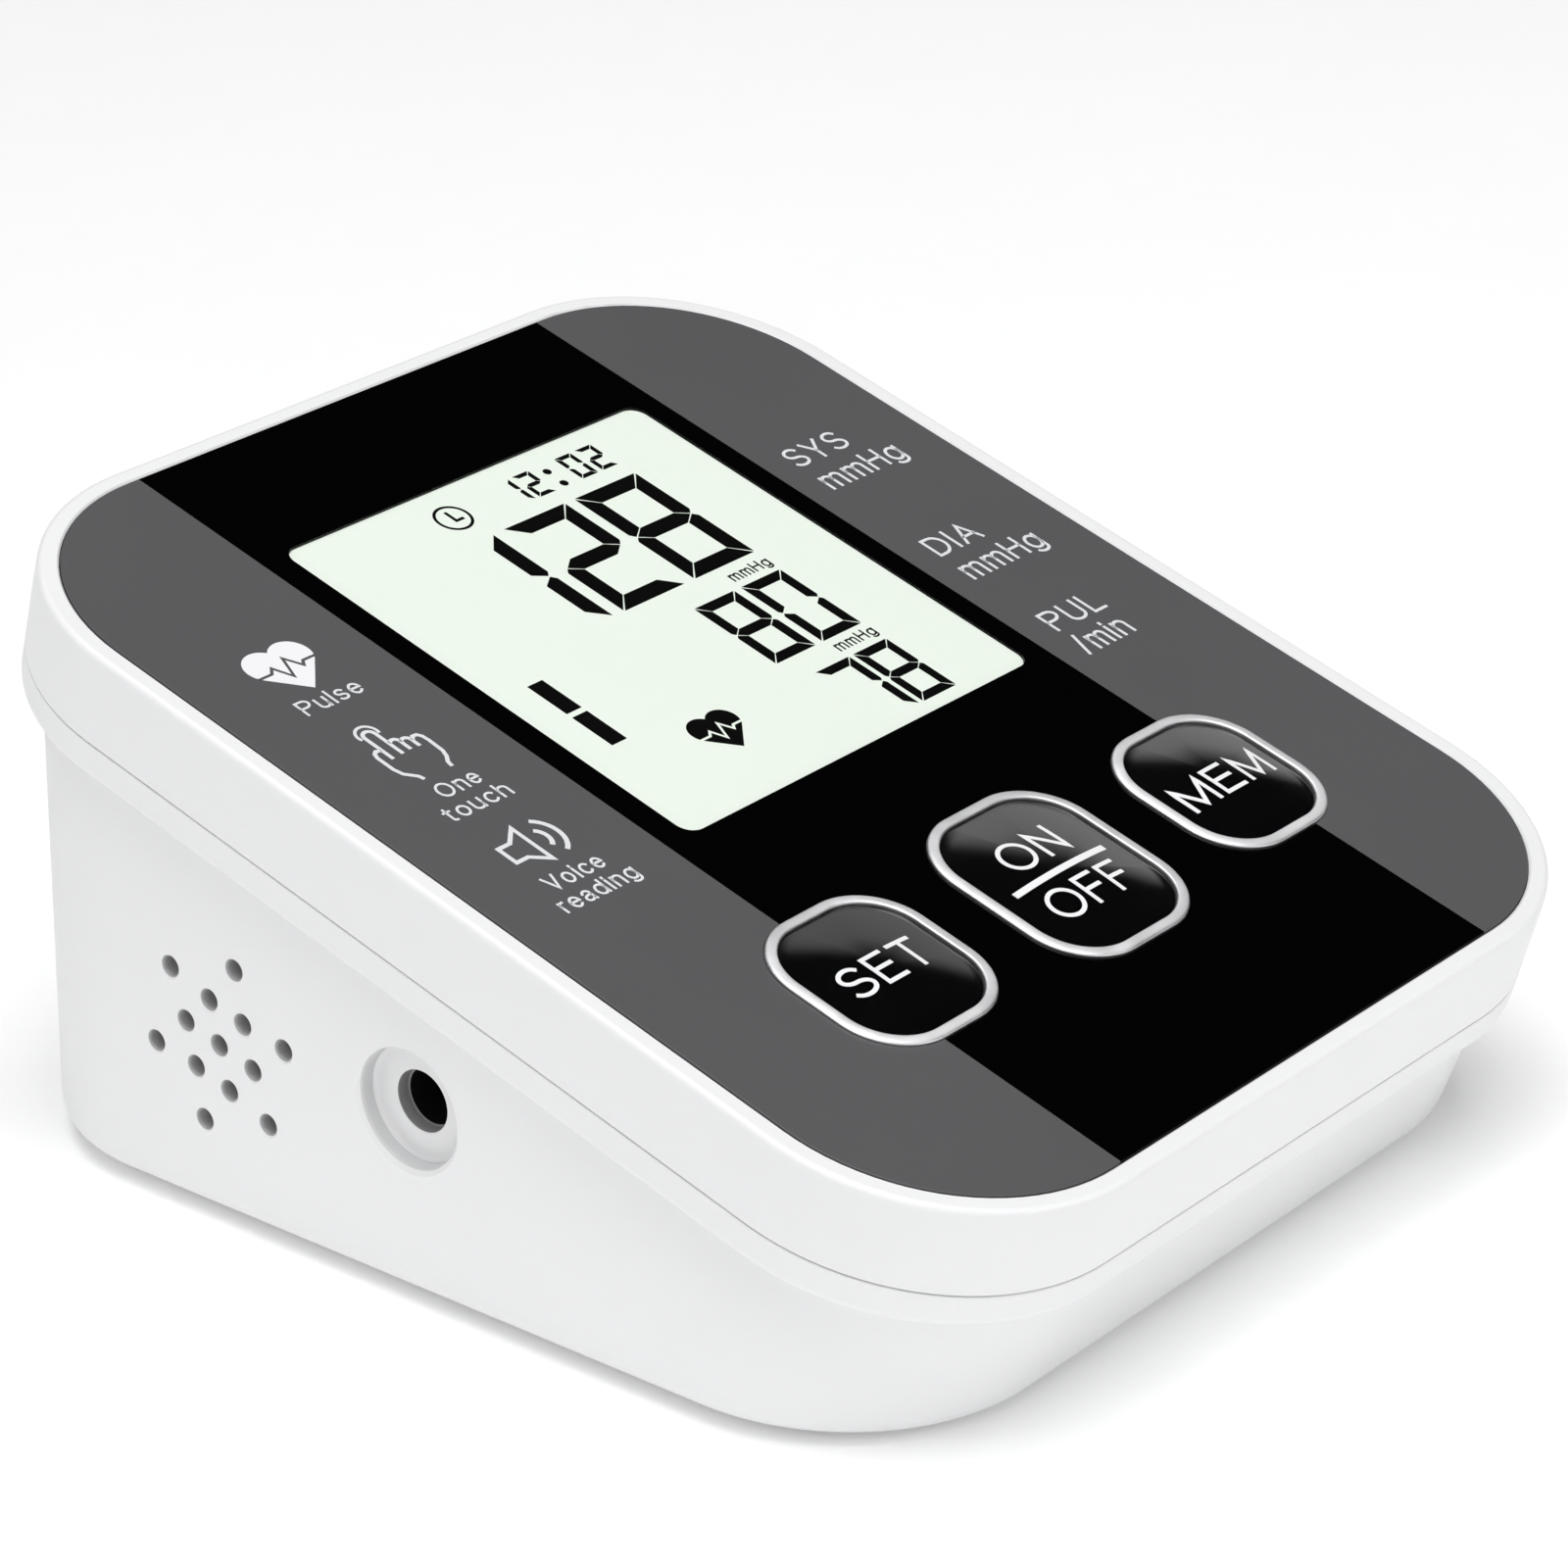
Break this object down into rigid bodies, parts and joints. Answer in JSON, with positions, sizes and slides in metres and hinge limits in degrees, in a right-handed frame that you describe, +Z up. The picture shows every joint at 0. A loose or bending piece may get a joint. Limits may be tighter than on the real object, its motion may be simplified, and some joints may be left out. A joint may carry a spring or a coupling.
{
  "type": "upper arm blood pressure monitor",
  "caption": "Wedge-shaped table unit that inflates and reads an arm cuff: tilted panel with large display, three press keys, side hose socket, speaker grille and battery bay.",
  "frame": {"origin": "centre of the footprint box on the ground, under the feet", "axes": "+X to the user's right, +Y away from the user towards the tall end, +Z up; the panel normal leans 17 degrees from +Z towards -Y"},
  "size_m": [0.1048, 0.1264, 0.0633],
  "materials": {
    "socket_plastic": "white moulding with a dark bore",
    "battery_jacket": "plain dark label on a metal can",
    "door_plastic": "white moulded ABS, satin",
    "screw_steel": "zinc plated",
    "contact_metal": "nickel-plated spring steel",
    "chip": "black moulded package",
    "lens": "clear polished window",
    "face_panel": "glossy black panel with mid-grey printed side bands",
    "foot_rubber": "dark rubber",
    "diffuser": "white light guide",
    "zebra": "elastomer contact strip",
    "lcd": "pale green-white reflective display",
    "lead_black": "black insulated wire",
    "lead_red": "red insulated wire",
    "lower_shell": "white moulded ABS, satin",
    "board": "green solder mask on glass-fibre board",
    "key_black": "gloss black, printed in white",
    "plunger_red": "red-brown moulding",
    "ring_chrome": "bright plated",
    "switch_body": "black moulding",
    "diaphragm_rubber": "moulded silicone rubber",
    "pump_plastic": "black moulding",
    "hose_silicone": "translucent silicone tube",
    "lead_grey": "grey ribbon wire",
    "motor_steel": "plated can",
    "rotor_copper": "laminations and copper windings",
    "cone_paper": "black film cone",
    "speaker_metal": "black lacquered frame",
    "upper_shell": "white moulded ABS, satin gloss",
    "coil_copper": "enamelled copper winding",
    "valve_steel": "plated steel"
  },
  "bodies": {
    "case": {"air_socket": "socket_plastic", "battery_1": "battery_jacket", "battery_2": "battery_jacket", "battery_3": "battery_jacket", "battery_4": "battery_jacket", "case_screw_1": "screw_steel", "case_screw_2": "screw_steel", "case_screw_3": "screw_steel", "case_screw_4": "screw_steel", "contact_back_1": "contact_metal", "contact_back_2": "contact_metal", "contact_front": "contact_metal", "contact_negative": "contact_metal", "contact_positive": "contact_metal", "controller_chip": "chip", "display_lens": "lens", "faceplate": "face_panel", "foot_1": "foot_rubber", "foot_2": "foot_rubber", "foot_3": "foot_rubber", "foot_4": "foot_rubber", "lcd_backlight": "diffuser", "lcd_connector": "zebra", "lcd_glass": "lcd", "lead_negative": "lead_black", "lead_positive": "lead_red", "lower_case": "lower_shell", "main_board": "board", "memory_ring": "ring_chrome", "memory_switch": "switch_body", "power_ring": "ring_chrome", "power_switch": "switch_body", "pressure_sensor": "chip", "pump_diaphragm": "diaphragm_rubber", "pump_head": "pump_plastic", "pump_hose": "hose_silicone", "pump_lead": "lead_grey", "pump_motor": "motor_steel", "sensor_hose": "hose_silicone", "set_ring": "ring_chrome", "set_switch": "switch_body", "speaker_frame": "speaker_metal", "speaker_lead": "lead_grey", "upper_case": "upper_shell", "valve_coil": "coil_copper", "valve_hose": "hose_silicone", "valve_lead": "lead_grey", "valve_yoke": "valve_steel", "voice_chip": "chip"},
    "set_key_body": {"set_key": "key_black"},
    "power_key_body": {"power_key": "key_black"},
    "memory_key_body": {"memory_key": "key_black"},
    "set_plunger_body": {"set_plunger": "plunger_red"},
    "power_plunger_body": {"power_plunger": "plunger_red"},
    "memory_plunger_body": {"memory_plunger": "plunger_red"},
    "door_body": {"battery_door": "door_plastic"},
    "rotor_body": {"pump_rotor": "rotor_copper"},
    "valve_plunger_body": {"valve_plunger": "valve_steel"},
    "cone_body": {"speaker_cone": "cone_paper"}
  },
  "joints": [
    {"name": "set_key_press", "type": "slide", "parent": "case", "child": "set_key_body", "axis": [0, 0.2924, -0.9563], "range_m": [0, 0.0005], "stiffness_N_per_m": 400, "springref_m": -0.0006},
    {"name": "power_key_press", "type": "slide", "parent": "case", "child": "power_key_body", "axis": [0, 0.2924, -0.9563], "range_m": [0, 0.0005], "stiffness_N_per_m": 400, "springref_m": -0.0006},
    {"name": "memory_key_press", "type": "slide", "parent": "case", "child": "memory_key_body", "axis": [0, 0.2924, -0.9563], "range_m": [0, 0.0005], "stiffness_N_per_m": 400, "springref_m": -0.0006},
    {"name": "set_plunger_press", "type": "slide", "parent": "case", "child": "set_plunger_body", "axis": [0, 0.2924, -0.9563], "range_m": [0, 0.0005]},
    {"name": "power_plunger_press", "type": "slide", "parent": "case", "child": "power_plunger_body", "axis": [0, 0.2924, -0.9563], "range_m": [0, 0.0005]},
    {"name": "memory_plunger_press", "type": "slide", "parent": "case", "child": "memory_plunger_body", "axis": [0, 0.2924, -0.9563], "range_m": [0, 0.0005]},
    {"name": "battery_door_hinge", "type": "hinge", "parent": "case", "child": "door_body", "pos_m": [0, 0.05755, 0.0008], "axis": [1, 0, 0], "range_deg": [0, 75]},
    {"name": "pump_rotor_spin", "type": "hinge", "parent": "case", "child": "rotor_body", "pos_m": [0, -0.01465, 0.0147], "axis": [1, 0, 0], "continuous": true},
    {"name": "valve_plunger_slide", "type": "slide", "parent": "case", "child": "valve_plunger_body", "axis": [0, 1, 0], "range_m": [0, 0.0008], "stiffness_N_per_m": 200, "springref_m": -0.0005},
    {"name": "speaker_cone_travel", "type": "slide", "parent": "case", "child": "cone_body", "axis": [1, 0, 0], "range_m": [-0.0003, 0.0003], "stiffness_N_per_m": 500}
  ],
  "couplings": [
    {"joint": "set_plunger_press", "follows": "set_key_press", "ratio": 1},
    {"joint": "power_plunger_press", "follows": "power_key_press", "ratio": 1},
    {"joint": "memory_plunger_press", "follows": "memory_key_press", "ratio": 1}
  ]
}
